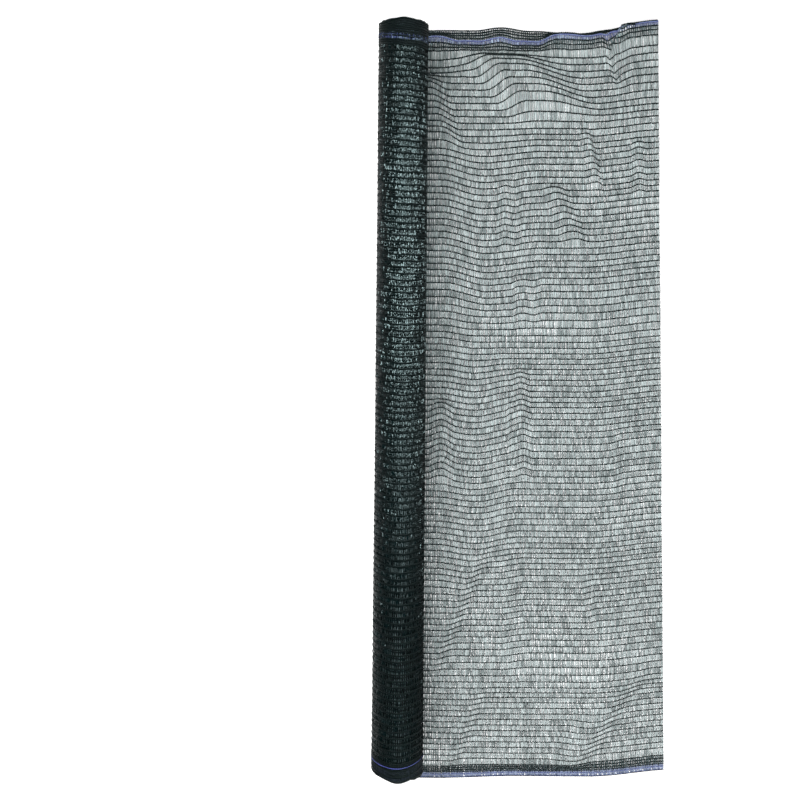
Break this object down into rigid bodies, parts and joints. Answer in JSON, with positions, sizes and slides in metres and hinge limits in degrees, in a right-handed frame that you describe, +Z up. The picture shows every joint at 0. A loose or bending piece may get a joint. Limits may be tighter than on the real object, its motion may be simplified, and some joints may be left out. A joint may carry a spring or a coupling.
{
  "type": "shade netting roll",
  "caption": "Roll of knitted sun-shade netting, wound without a core, with its free end pulled out flat beside it, for shading plants and lining fences.",
  "frame": {"origin": "middle of the flat spot that the roll rests on, halfway along the roll, where the loose netting leaves it", "axes": "+Y along the roll towards its head end, +X towards the cut end of the loose netting, +Z up"},
  "size_m": [0.391, 1.0171, 0.0694],
  "materials": {
    "wound_netting": "satin knitted polyethylene tape, wound tight",
    "open_netting": "satin knitted polyethylene tape and yarn, open knit"
  },
  "bodies": {
    "root": {"roll": "wound_netting", "loose_netting": "open_netting"}
  },
  "joints": []
}
